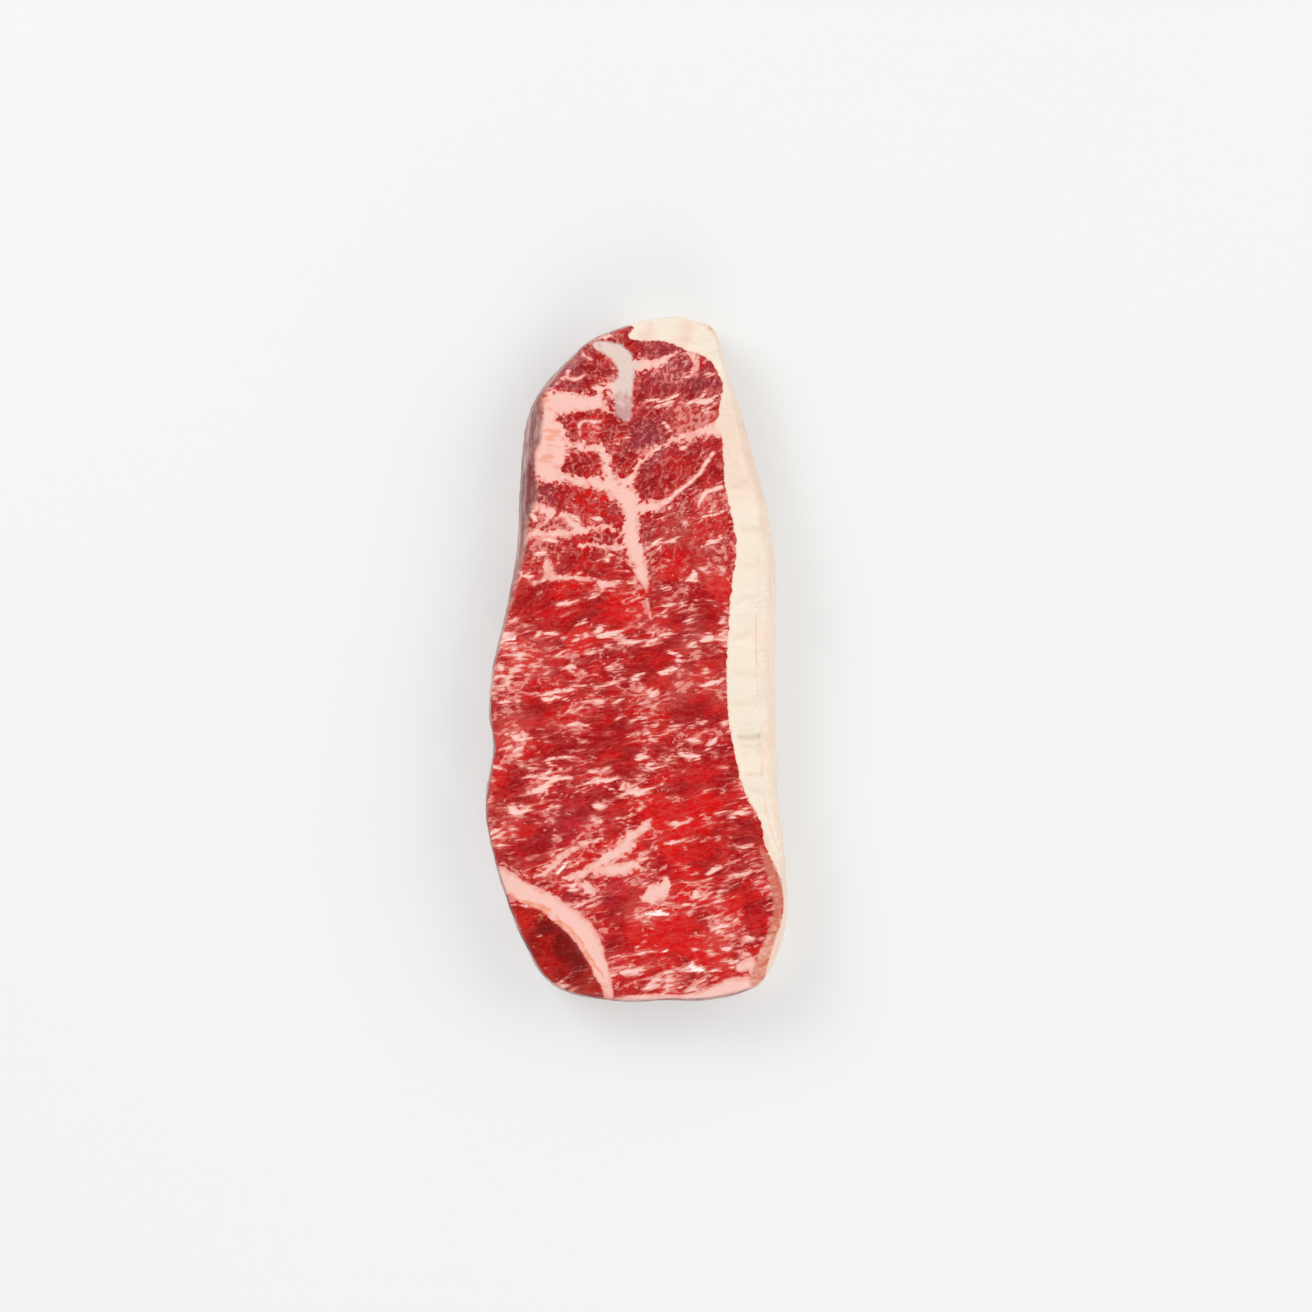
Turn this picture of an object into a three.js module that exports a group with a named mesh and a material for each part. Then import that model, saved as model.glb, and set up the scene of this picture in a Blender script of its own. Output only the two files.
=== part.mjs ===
import * as THREE from 'three';

// A raw sirloin steak cut from the strip loin, lying on its lower cut face.
// Millimetres, +Z up, origin under the middle of the steak.
// +Y is the long way, and the fat cap runs down the +X side.

// Driving sizes.
const LENGTH = 220;
const WIDTH = 96.5;
const THICKNESS = 23.5; // plain height of the upper cut face
const BELLY_HEIGHT = 8; // mean height at which the sides stand out furthest
const BELLY_SWAY = 2; // how far that height wanders up and down
const BELLY_WAVE = 130; // the length over which it does so
const FOOT_TUCK = 2.6; // how far the flat underside stops short of the sides
const SHOULDER_POWER = 2.5; // 2 is a round shoulder, more is squarer

// How finely the surface is divided.
const ALONG = 66;
const ACROSS = 27;
const FOOT_STEPS = 3;
const SHOULDER_STEPS = 6;
const EVENING_PASSES = 60;
const OUTLINE_SAMPLES = 4000;
const DIRECTION_REACH = 2; // outline points on each side that give its direction

// The outline seen from above, clockwise from the upper left corner.
const OUTLINE = [
  [-15, 102.5], [-4.5, 107], [5, 109.5], [12.5, 110.5], [18.5, 109.2], [23.8, 107.4],
  [26.2, 103.6], [28.3, 96], [33, 82], [37.3, 66.5], [41, 52.5], [43, 43],
  [44.5, 33], [44.5, 12.5], [44.5, -10], [45, -27.5], [45.5, -44], [47, -59],
  [48, -75], [47.5, -87], [44.5, -96], [40, -104], [32.5, -107.5], [20.5, -109.5],
  [9, -109.5], [0, -110], [-12, -109], [-23, -106.5], [-30, -101.5], [-35.5, -92],
  [-41, -78], [-46, -61], [-48, -47], [-46.5, -35], [-45.5, -28], [-47, -17],
  [-46, -3], [-42.5, 11.5], [-40, 24], [-38, 39], [-37, 56.5], [-36, 71.5],
  [-34, 80.5], [-30, 87.5],
];

// How far the upper edge stands in from the outline: [y, inset] down each side.
// On the +X side that is the sloping outer face of the fat cap.
const CAP_SHOULDER = [
  [108, 1.6], [102, 3], [80, 4], [66, 5.4], [46, 5.2], [24, 4.4], [4, 5.8],
  [-24, 5.8], [-44, 4], [-62, 2.6], [-92, 2], [-106, 2.2],
];
const LEAN_SHOULDER = [
  [104, 1.8], [88, 3.6], [80, 4.6], [60, 5], [50, 4.6], [43, 2.9], [31, 2],
  [19, 1.2], [-58, 1.1], [-104, 1.8],
];

// The fat cap: the line where it meets the lean, from the head of the steak down.
const CAP_SEAM = [
  [-1, 105], [7, 101.5], [16, 98.5], [25, 94], [27, 80], [27.5, 62], [29.5, 46],
  [31.8, 33], [29.5, 14], [29, -14], [32, -34], [38.5, -52], [41, -60], [43.5, -78],
  [40, -92], [36, -104],
];
const CAP_RISE = 1.1;
const CAP_RISE_WIDTH = 8;
const CAP_SEAM_DEPTH = 0.5;
const CAP_SEAM_WIDTH = 2.6;

// Fat seams that divide the muscles, each a hollow along a line.
const FAT_SEAMS = [
  { depth: 0.9, width: 4, line: [[-30, 77], [-14, 74], [-4, 76], [-3, 92]] },
  { depth: 1.0, width: 4.5, line: [[-18, 56], [-4, 50], [-1, 36], [2, 24], [5, 13]] },
  { depth: 0.7, width: 3, line: [[-1, 58], [5, 66], [10, 70]] },
  { depth: 0.6, width: 3, line: [[-35, 40], [-22, 40], [-11, 41]] },
  { depth: 1.1, width: 4.5, line: [[-44, -71], [-30, -77], [-17, -86], [-10, -98], [-9, -108]] },
];

// Muscle bundles that swell up between the seams: centre, half sizes and height.
const LOBES = [
  { x: -17, y: 91, halfX: 12, halfY: 8, rise: 1.1 },
  { x: 14, y: 86, halfX: 12, halfY: 11, rise: 1.3 },
  { x: -13, y: 74, halfX: 11, halfY: 5, rise: 0.7 },
  { x: 13, y: 60, halfX: 12, halfY: 7, rise: 1.2 },
  { x: -18, y: 62, halfX: 8, halfY: 4, rise: 0.8 },
  { x: -17, y: 50, halfX: 14, halfY: 7, rise: 1.0 },
  { x: -20, y: 33, halfX: 14, halfY: 7, rise: 0.7 },
  { x: 14, y: 38, halfX: 13, halfY: 8, rise: 0.8 },
  { x: -24, y: -93, halfX: 11, halfY: 10, rise: 1.2 },
];

// Broad unevenness of the cut face: wave lengths along x and y, phases and height.
const SWELLS = [
  { alongX: 88, alongY: 150, phaseX: 0.4, phaseY: 1.1, rise: 0.5 },
  { alongX: 47, alongY: 71, phaseX: 2.1, phaseY: 0.3, rise: 0.35 },
  { alongX: 31, alongY: 38, phaseX: 0.9, phaseY: 2.6, rise: 0.2 },
];

const TURN = 2 * Math.PI;
const bell = (distance, width) => Math.exp(-((distance / width) ** 2));

// Reads a [y, value] table that runs down in y, straight between its rows.
function tableAt(table, y) {
  if (y >= table[0][0]) return table[0][1];
  for (let row = 1; row < table.length; row += 1) {
    const [upperY, upper] = table[row - 1];
    const [lowerY, lower] = table[row];
    if (y >= lowerY) return THREE.MathUtils.mapLinear(y, upperY, lowerY, upper, lower);
  }
  return table[table.length - 1][1];
}

// The distance from a point to a line of [x, y] corners.
function distanceTo(line, x, y) {
  const point = new THREE.Vector3(x, y, 0);
  const stretch = new THREE.Line3();
  const nearest = new THREE.Vector3();
  let least = Infinity;
  for (let corner = 1; corner < line.length; corner += 1) {
    stretch.start.set(...line[corner - 1], 0);
    stretch.end.set(...line[corner], 0);
    stretch.closestPointToPoint(point, true, nearest);
    least = Math.min(least, nearest.distanceTo(point));
  }
  return least;
}

// How far a point lies on the fat side of the seam, below 0 in the lean.
function insideCap(x, y) {
  const distance = distanceTo(CAP_SEAM, x, y);
  const seamX = tableAt(CAP_SEAM.map(([px, py]) => [py, px]), y);
  return x > seamX ? distance : -distance;
}

// The height of the upper cut face at a place.
function faceHeight(x, y) {
  let height = THICKNESS;
  for (const swell of SWELLS) {
    const waveX = Math.sin((TURN * x) / swell.alongX + swell.phaseX);
    const waveY = Math.sin((TURN * y) / swell.alongY + swell.phaseY);
    height += swell.rise * waveX * waveY;
  }
  for (const lobe of LOBES) {
    const reach = Math.hypot((x - lobe.x) / lobe.halfX, (y - lobe.y) / lobe.halfY);
    height += lobe.rise * bell(reach, 1);
  }
  for (const seam of FAT_SEAMS) {
    height -= seam.depth * bell(distanceTo(seam.line, x, y), seam.width);
  }
  const depthInCap = insideCap(x, y);
  height += CAP_RISE * bell(depthInCap - CAP_RISE_WIDTH, CAP_RISE_WIDTH);
  height -= CAP_SEAM_DEPTH * bell(depthInCap, CAP_SEAM_WIDTH);
  return height;
}

// Even points round the outline, with the outward direction at each.
function outlinePoints(count) {
  const corners = OUTLINE.map(([x, y]) => new THREE.Vector3(x, y, 0));
  const curve = new THREE.CatmullRomCurve3(corners, true, 'centripetal');
  curve.arcLengthDivisions = OUTLINE_SAMPLES;
  const points = curve.getSpacedPoints(count).slice(0, count);
  const box = new THREE.Box3().setFromPoints(points);
  const centre = box.getCenter(new THREE.Vector3());
  const size = box.getSize(new THREE.Vector3());
  const fit = new THREE.Vector3(WIDTH / size.x, LENGTH / size.y, 1);
  for (const point of points) point.sub(centre).multiply(fit);
  return points.map((point, place) => {
    const before = points[(place - DIRECTION_REACH + count) % count];
    const after = points[(place + DIRECTION_REACH) % count];
    const outward = new THREE.Vector3(before.y - after.y, after.x - before.x, 0).normalize();
    return { point, outward };
  });
}

// One side of the steak in section: how far in and how high, from foot to upper edge.
function sideProfile(inset, belly, top) {
  const steps = [];
  for (let step = 0; step <= FOOT_STEPS; step += 1) {
    const angle = ((step / FOOT_STEPS) * Math.PI) / 2;
    const inward = FOOT_TUCK * (1 - Math.sin(angle));
    steps.push({ inward, height: belly * (1 - Math.cos(angle)) });
  }
  for (let step = 1; step <= SHOULDER_STEPS; step += 1) {
    const angle = ((step / SHOULDER_STEPS) * Math.PI) / 2;
    const inward = inset * (1 - Math.cos(angle) ** (2 / SHOULDER_POWER));
    const climb = Math.sin(angle) ** (2 / SHOULDER_POWER);
    steps.push({ inward, height: belly + (top - belly) * climb });
  }
  return steps;
}

// The rings of the side, from the foot up to the edge of the upper face.
function sideRings(outline) {
  const rings = Array.from({ length: FOOT_STEPS + SHOULDER_STEPS + 1 }, () => []);
  for (const { point, outward } of outline) {
    const shoulder = point.x > 0 ? CAP_SHOULDER : LEAN_SHOULDER;
    const inset = tableAt(shoulder, point.y);
    const edge = point.clone().addScaledVector(outward, -inset);
    const sway = BELLY_SWAY * Math.sin((TURN * (point.x + point.y)) / BELLY_WAVE);
    const profile = sideProfile(inset, BELLY_HEIGHT + sway, faceHeight(edge.x, edge.y));
    profile.forEach(({ inward, height }, ring) => {
      const place = point.clone().addScaledVector(outward, -inward);
      rings[ring].push(place.setZ(height));
    });
  }
  return rings;
}

// Four sides of a closed ring, as places in it, for a grid that fills the ring.
const RING = 2 * (ALONG + ACROSS);
const headPlace = (column) => column;
const tailPlace = (column) => 2 * ACROSS + ALONG - column;
const capPlace = (row) => ACROSS + row;
const leanPlace = (row) => (RING - row) % RING;

// A grid over the upper face, evened out inside its fixed edge ring.
function faceGrid(edge) {
  const grid = [];
  for (let row = 0; row <= ALONG; row += 1) {
    const down = row / ALONG;
    const line = [];
    for (let column = 0; column <= ACROSS; column += 1) {
      const over = column / ACROSS;
      const side = edge[leanPlace(row)].clone().lerp(edge[capPlace(row)], over);
      const ends = edge[headPlace(column)].clone().lerp(edge[tailPlace(column)], down);
      const headCorners = edge[headPlace(0)].clone().lerp(edge[headPlace(ACROSS)], over);
      const tailCorners = edge[tailPlace(0)].clone().lerp(edge[tailPlace(ACROSS)], over);
      line.push(side.add(ends).sub(headCorners.lerp(tailCorners, down)));
    }
    grid.push(line);
  }
  for (let pass = 0; pass < EVENING_PASSES; pass += 1) {
    for (let row = 1; row < ALONG; row += 1) {
      for (let column = 1; column < ACROSS; column += 1) {
        const middle = grid[row][column].set(0, 0, 0);
        middle.add(grid[row - 1][column]).add(grid[row + 1][column]);
        middle.add(grid[row][column - 1]).add(grid[row][column + 1]);
        middle.multiplyScalar(0.25);
      }
    }
  }
  for (let row = 1; row < ALONG; row += 1) {
    for (let column = 1; column < ACROSS; column += 1) {
      const place = grid[row][column];
      place.setZ(faceHeight(place.x, place.y));
    }
  }
  return grid;
}

// The whole steak as one closed surface.
function steakGeometry() {
  const rings = sideRings(outlinePoints(RING));
  const positions = [];
  const faces = [];
  const addPoint = ({ x, y, z }) => positions.push(x, y, z) / 3 - 1;
  const addTriangle = (a, b, c) => faces.push(a, b, c);
  const addQuad = (a, b, c, d) => {
    addTriangle(a, b, c);
    addTriangle(a, c, d);
  };

  const ringNumbers = rings.map((ring) => ring.map(addPoint));
  for (let ring = 1; ring < rings.length; ring += 1) {
    const lower = ringNumbers[ring - 1];
    const upper = ringNumbers[ring];
    for (let place = 0; place < RING; place += 1) {
      const next = (place + 1) % RING;
      addQuad(lower[next], lower[place], upper[place], upper[next]);
    }
  }

  const edge = ringNumbers[rings.length - 1];
  const grid = faceGrid(rings[rings.length - 1]);
  const gridNumbers = grid.map((line, row) => line.map((place, column) => {
    if (row === 0) return edge[headPlace(column)];
    if (row === ALONG) return edge[tailPlace(column)];
    if (column === 0) return edge[leanPlace(row)];
    if (column === ACROSS) return edge[capPlace(row)];
    return addPoint(place);
  }));
  for (let row = 0; row < ALONG; row += 1) {
    for (let column = 0; column < ACROSS; column += 1) {
      const [a, b] = [gridNumbers[row][column], gridNumbers[row][column + 1]];
      const [c, d] = [gridNumbers[row + 1][column + 1], gridNumbers[row + 1][column]];
      addQuad(d, c, b, a);
    }
  }

  // The flat underside: a fan at each end, and strips from side to side between.
  const foot = ringNumbers[0];
  for (let column = 1; column < ACROSS; column += 1) {
    addTriangle(foot[headPlace(0)], foot[headPlace(column)], foot[headPlace(column + 1)]);
    addTriangle(foot[tailPlace(0)], foot[tailPlace(column + 1)], foot[tailPlace(column)]);
  }
  for (let row = 0; row < ALONG; row += 1) {
    const [leanUpper, leanLower] = [foot[leanPlace(row)], foot[leanPlace(row + 1)]];
    const [capUpper, capLower] = [foot[capPlace(row)], foot[capPlace(row + 1)]];
    addQuad(leanUpper, capUpper, capLower, leanLower);
  }

  const geometry = new THREE.BufferGeometry();
  geometry.setAttribute('position', new THREE.Float32BufferAttribute(positions, 3));
  geometry.setIndex(faces);
  geometry.computeVertexNormals();
  return geometry;
}

const rawBeef = new THREE.MeshStandardMaterial({
  color: new THREE.Color(0.62, 0.1, 0.12),
  roughness: 0.38,
  metalness: 0,
});

const steak = new THREE.Mesh(steakGeometry(), rawBeef);
steak.name = 'steak';

const group = new THREE.Group();
group.name = 'raw_sirloin_steak';
group.add(steak);

export default group;
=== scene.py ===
# %% [markdown]
# This lesson finishes one raw sirloin steak around its packed solid.
# The solid already has the true outline, thickness and main relief, so it is the frame here.
# Blender adds what the eye looks for in raw beef: marbled red lean, seams of pink fat, a cream
# fat cap with creases, a strip of silverskin, a dark skin on the lean side, and the wet gloss.

import bpy
import numpy as np
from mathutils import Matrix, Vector, noise


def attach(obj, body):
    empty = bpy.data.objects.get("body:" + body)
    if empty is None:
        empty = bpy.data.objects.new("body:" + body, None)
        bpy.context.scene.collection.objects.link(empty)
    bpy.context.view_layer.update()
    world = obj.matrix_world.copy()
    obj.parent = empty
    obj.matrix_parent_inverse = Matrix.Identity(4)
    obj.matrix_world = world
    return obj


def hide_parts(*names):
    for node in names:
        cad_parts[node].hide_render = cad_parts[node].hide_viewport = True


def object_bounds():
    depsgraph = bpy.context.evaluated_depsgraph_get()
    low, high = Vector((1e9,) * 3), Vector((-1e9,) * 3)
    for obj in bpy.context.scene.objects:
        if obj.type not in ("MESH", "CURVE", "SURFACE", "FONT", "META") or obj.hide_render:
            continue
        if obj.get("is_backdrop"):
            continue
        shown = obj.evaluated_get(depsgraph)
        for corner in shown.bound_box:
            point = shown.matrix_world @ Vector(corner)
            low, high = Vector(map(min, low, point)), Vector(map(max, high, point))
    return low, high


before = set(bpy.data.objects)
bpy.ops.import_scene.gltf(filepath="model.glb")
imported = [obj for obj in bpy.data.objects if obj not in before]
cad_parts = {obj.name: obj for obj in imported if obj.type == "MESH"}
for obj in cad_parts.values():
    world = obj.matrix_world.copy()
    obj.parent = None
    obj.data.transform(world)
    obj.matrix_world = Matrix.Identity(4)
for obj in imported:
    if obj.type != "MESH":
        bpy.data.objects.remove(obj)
cad_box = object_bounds()
print("solid from", tuple(cad_box[0]), "to", tuple(cad_box[1]))

# %% [markdown]
# The camera comes first, because the steak is judged from one view straight above it.
# The picture is a square, and the length of the steak in it fixes the scale.
# A long lens from a good height keeps the sides nearly upright, as in a pack shot.

# %% The camera straight above
PICTURE_PIXELS = 1312
STEAK_PIXELS = 682
STEAK_MIDDLE = (636.5, 659.0)  # the middle of the steak in the picture, in pixels
CAMERA_HEIGHT = 1.3
WIDEST_HEIGHT = 0.008  # the sides stand out furthest at this height
SENSOR_WIDTH = 36.0

metres_per_pixel = (cad_box[1].y - cad_box[0].y) / STEAK_PIXELS
picture_width = metres_per_pixel * PICTURE_PIXELS
camera_x = (PICTURE_PIXELS / 2 - STEAK_MIDDLE[0]) * metres_per_pixel
camera_y = (STEAK_MIDDLE[1] - PICTURE_PIXELS / 2) * metres_per_pixel

bpy.ops.object.camera_add(
    location=(camera_x, camera_y, WIDEST_HEIGHT + CAMERA_HEIGHT), rotation=(0, 0, 0)
)
camera = bpy.context.active_object
camera.name = "overhead_camera"
camera.data.sensor_width = SENSOR_WIDTH
camera.data.lens = SENSOR_WIDTH * CAMERA_HEIGHT / picture_width
bpy.context.scene.camera = camera
print("picture", round(picture_width * 1000, 1), "mm wide, lens", round(camera.data.lens, 1))

# %% [markdown]
# Raw meat is wet, so anything bright right above would mirror into the camera and veil the red.
# The lamps stand at the sides instead, large and soft, and small tilted facets glint in them.
# The Standard view keeps reds and creams as they are, where a film-like view would dull them.

# %% Soft lamps at the sides
MIDDLE = Vector((0, 0, 0.012))
LAMPS = {
    "key_lamp": {"place": (-0.95, 0.75, 1.1), "size": 0.9, "watts": 12.8},
    "fill_lamp": {"place": (1.05, 0.35, 1.0), "size": 1.1, "watts": 8.7},
    "low_lamp": {"place": (0.1, -1.2, 0.95), "size": 1.0, "watts": 7.3},
}
for name, lamp in LAMPS.items():
    bpy.ops.object.light_add(type="AREA", location=lamp["place"])
    made = bpy.context.active_object
    made.name = name
    made.data.shape = "SQUARE"
    made.data.size = lamp["size"]
    made.data.energy = lamp["watts"]
    made.rotation_euler = (MIDDLE - made.location).to_track_quat("-Z", "Y").to_euler()
    made.visible_camera = False

bpy.context.scene.view_settings.view_transform = "Standard"
print("lamps:", ", ".join(LAMPS))

# %% [markdown]
# Shader maths reads best as sums and products, so one small class wraps a node's output.
# Every other node comes from its one method, which sets the node up before filling its sockets.

# %% A small class for shader maths
class Shade:
    """One output of a shader node, which can be added, taken away and multiplied."""

    def __init__(self, tree, socket=None):
        self.tree = tree
        self.socket = socket

    def node(self, kind, settings=None, values=None, output=0):
        """Adds a node of a kind, with its settings first and then its socket values."""
        made = self.tree.nodes.new("ShaderNode" + kind)
        for name, value in (settings or {}).items():
            setattr(made, name, value)
        for name, value in (values or {}).items():
            if isinstance(value, Shade):
                self.tree.links.new(value.socket, made.inputs[name])
            else:
                made.inputs[name].default_value = value
        return Shade(self.tree, made.outputs[output])

    def math(self, operation, first, second=0.0):
        return self.node("Math", {"operation": operation}, {0: first, 1: second})

    def __add__(self, other):
        return self.math("ADD", self, other)

    def __sub__(self, other):
        return self.math("SUBTRACT", self, other)

    def __rsub__(self, other):
        return self.math("SUBTRACT", other, self)

    def __mul__(self, other):
        return self.math("MULTIPLY", self, other)

    __radd__ = __add__
    __rmul__ = __mul__

    def over(self, other):
        """The larger of two values."""
        return self.math("MAXIMUM", self, other)

    def under(self, other):
        """The smaller of two values."""
        return self.math("MINIMUM", self, other)

    def size(self):
        return self.math("ABSOLUTE", self)

    def between(self, low, high):
        """A smooth step from 0 at low to 1 at high."""
        values = {"Value": self, "From Min": low, "From Max": high}
        return self.node("MapRange", {"interpolation_type": "SMOOTHSTEP"}, values)

    def scaled(self, sizes):
        """A vector measured in steps of the given sizes."""
        steps = tuple(1 / size for size in sizes)
        return self.node("VectorMath", {"operation": "MULTIPLY"}, {0: self, 1: steps})

    def moved(self, other):
        """The sum of two vectors."""
        return self.node("VectorMath", {"operation": "ADD"}, {0: self, 1: other})

    def noise(self, sizes, detail=2.0, roughness=0.5, output="Fac"):
        """Cloudy noise whose lumps have the given sizes."""
        values = {"Vector": self.scaled(sizes), "Scale": 1.0}
        values.update({"Detail": detail, "Roughness": roughness})
        return self.node("TexNoise", None, values, output)

    def bent(self, sizes, reach, detail=2.0):
        """The vector pushed about by noise, as far as reach along each axis."""
        push = self.noise(sizes, detail, output="Color")
        centred = push.node("VectorMath", {"operation": "SUBTRACT"}, {0: push, 1: (0.5,) * 3})
        drift = push.node("VectorMath", {"operation": "MULTIPLY"}, {0: centred, 1: reach})
        return self.moved(drift)

    def mixed(self, first, second):
        """Two colours mixed by this value: the first at 0 and the second at 1."""
        settings = {"data_type": "RGBA", "clamp_factor": True}
        return self.node("Mix", settings, {0: self, 6: first, 7: second}, 2)

    def tinted(self, colour, amount=1.0):
        """This colour multiplied by another one."""
        settings = {"data_type": "RGBA", "blend_type": "MULTIPLY"}
        return self.node("Mix", settings, {0: amount, 6: self, 7: colour}, 2)


print("shader maths:", Shade.__doc__)

# %% [markdown]
# Two helpers go with the class. One makes a new finish with its shader at hand, and the other
# turns a colour as read on a screen into the linear values of a shader.

# %% New finishes and screen colours
def new_finish(name):
    """A new material, its shader, and a Shade to start its nodes from."""
    finish = bpy.data.materials.new(name)
    finish.use_nodes = True
    shader = finish.node_tree.nodes["Principled BSDF"]
    return finish, shader, Shade(finish.node_tree)


def colour(red, green, blue):
    """A colour as read on a screen, from 0 to 255, in the linear values of a shader."""
    linear = []
    for part in (red, green, blue):
        part = part / 255
        linear.append(part / 12.92 if part <= 0.04045 else ((part + 0.055) / 1.055) ** 2.4)
    return (*linear, 1.0)


print("grey 128 on a screen is", round(colour(128, 128, 128)[0], 3), "in a shader")

# %% [markdown]
# A pale world fills the shadows. It is darker overhead, for the same reason that the lamps
# stand aside: the wet surface facing the camera then keeps its full red.

# %% A pale world, darker overhead
WORLD_SIDES = (0.62, 0.635, 0.65, 1)
WORLD_OVERHEAD = (0.1, 0.1, 0.105, 1)
DARKENS_FROM = 0.55  # how steeply a direction points up, from 0 to 1
DARKEST_AT = 0.95
world = bpy.data.worlds.new("pale_world")
world.use_nodes = True
sky = Shade(world.node_tree)
heading = sky.node("TexCoord", output="Generated")
upward = heading.node("SeparateXYZ", None, {0: heading}, "Z")
overhead = upward.between(DARKENS_FROM, DARKEST_AT)
sky_colour = overhead.mixed(WORLD_SIDES, WORLD_OVERHEAD)
background = world.node_tree.nodes["Background"]
world.node_tree.links.new(sky_colour.socket, background.inputs["Color"])
bpy.context.scene.world = world
print("world from", WORLD_SIDES[:3], "at the sides to", WORLD_OVERHEAD[:3], "overhead")

# %% [markdown]
# The floor is one large pale sheet, with a trace of unevenness so that it isn't a flat colour.
# It glows a little, like a light table, which keeps the shadow round the steak faint.

# %% The pale floor
FLOOR_SIZE = 4.0
FLOOR_GREY = colour(180, 181, 180)
FLOOR_PALE = colour(184, 184, 183)
FLOOR_GLOW = 0.385
bpy.ops.mesh.primitive_plane_add(size=FLOOR_SIZE, location=(0, 0, 0))
floor = bpy.context.active_object
floor.name = "pale_floor"
floor_finish, floor_shader, shade = new_finish("pale_floor")
floor_place = shade.node("TexCoord", output="Object")
floor_cloud = floor_place.noise((0.3, 0.3, 0.3))
floor_colour = floor_cloud.mixed(FLOOR_GREY, FLOOR_PALE)
floor_finish.node_tree.links.new(floor_colour.socket, floor_shader.inputs["Base Color"])
floor_shader.inputs["Roughness"].default_value = 0.6
floor_shader.inputs["Emission Color"].default_value = (1.0, 1.0, 0.99, 1)
floor_shader.inputs["Emission Strength"].default_value = FLOOR_GLOW
floor.data.materials.append(floor_finish)
floor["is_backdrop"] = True
print("floor", FLOOR_SIZE, "m wide")

# %% [markdown]
# The steak's surface starts as a copy of the packed solid, merged into one skin.
# The solid's facets are 2 to 3 mm wide, too coarse for fine relief, so the skin is remeshed.
# A voxel remesh gives even quads all over, and a light smoothing takes the facets out.
# The upper face is then divided once more, because the fat seams are drawn on its vertices.

# %% Copy, remesh and divide the surface
MM = 0.001
SKIN_STEP = 1.06 * MM
FACETS_SMOOTHED = 8
FINE_SMOOTHED = 3
UPPER_NORMAL = 0.55
UPPER_HEIGHT = 16 * MM


def edit(*steps):
    """Runs steps in edit mode on the active object."""
    bpy.ops.object.mode_set(mode="EDIT")
    for step in steps:
        step()
    bpy.ops.object.mode_set(mode="OBJECT")


def apply_new(kind, **settings):
    """Adds a modifier to the active object, sets it and applies it."""
    bpy.ops.object.modifier_add(type=kind)
    modifier = bpy.context.object.modifiers[-1]
    for name, value in settings.items():
        setattr(modifier, name, value)
    bpy.ops.object.modifier_apply(modifier=modifier.name)


bpy.ops.object.select_all(action="DESELECT")
steak = bpy.data.objects.new("marbled_steak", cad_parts["steak"].data.copy())
bpy.context.scene.collection.objects.link(steak)
bpy.context.view_layer.objects.active = steak
steak.select_set(True)
steak.data.materials.clear()

edit(
    lambda: bpy.ops.mesh.select_all(action="SELECT"),
    lambda: bpy.ops.mesh.remove_doubles(threshold=0.001 * MM),
)
apply_new("REMESH", mode="VOXEL", voxel_size=SKIN_STEP, use_smooth_shade=True)
apply_new("SMOOTH", factor=0.5, iterations=FACETS_SMOOTHED)

for face in steak.data.polygons:
    face.select = face.normal.z > UPPER_NORMAL and face.center.z > UPPER_HEIGHT
for edge in steak.data.edges:
    edge.select = False
for vertex in steak.data.vertices:
    vertex.select = False
bpy.context.tool_settings.mesh_select_mode = (False, False, True)
edit(lambda: bpy.ops.mesh.subdivide(number_cuts=1))
apply_new("SMOOTH", factor=0.5, iterations=FINE_SMOOTHED)
steak.data.shade_smooth()
steak.data.calc_loop_triangles()
print(len(steak.data.vertices), "vertices,", len(steak.data.loop_triangles), "triangles")

# %% [markdown]
# From here the steak is read in millimetres: the place of each vertex and the way it faces.
# Every shape is drawn on the flat cut face, so each vertex also gets its place on that face.

# %% Read the vertices
count = len(steak.data.vertices)


def read_vectors(data, name):
    values = np.empty(count * 3)
    data.foreach_get(name, values)
    return values.reshape(-1, 3)


place = read_vectors(steak.data.vertices, "co") / MM
facing = read_vectors(steak.data.vertex_normals, "vector")
top_height = place[:, 2].max()

# The grain leans a little through the thickness, so the two cut faces differ.
GRAIN_LEAN = (0.04, 0.12)
flat = place[:, :2] + np.outer(top_height - place[:, 2], GRAIN_LEAN)
print("reading", count, "vertices, the highest at", round(top_height, 2), "mm")

# %% [markdown]
# A drawn shape is kept as the depth inside it in millimetres, below 0 outside. Such a depth
# stays sharp between vertices, and the finish roughens its edge with fine noise. Long shapes are
# bands with a width at every corner, and broad ones are closed outlines.

# %% Depths inside bands and outlines
def step(values, low, high):
    """A smooth step from 0 at low to 1 at high."""
    share = np.clip((values - low) / (high - low), 0, 1)
    return share * share * (3 - 2 * share)


def lumps(at, sizes, seed):
    """Noise from -1 to 1 at each place, with lumps of the given sizes."""
    shift = Vector((seed, 2.3 * seed, 4.1 * seed))
    scaled = at / np.array(sizes)
    return np.array([noise.noise(Vector(spot) + shift) for spot in scaled])


def smooth_line(corners, pieces=4):
    """A rounded line through corners of two or three numbers each."""
    corners = np.array(corners, float)
    ends = np.vstack([2 * corners[0] - corners[1], corners, 2 * corners[-1] - corners[-2]])
    line = []
    for a, b, c, d in zip(ends, ends[1:], ends[2:], ends[3:]):
        for t in np.arange(pieces) / pieces:
            line.append(
                b + 0.5 * t * (c - a + t * (2 * a - 5 * b + 4 * c - d + t * (3 * (b - c) + d - a)))
            )
    return np.array([*line, corners[-1]])


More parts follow.
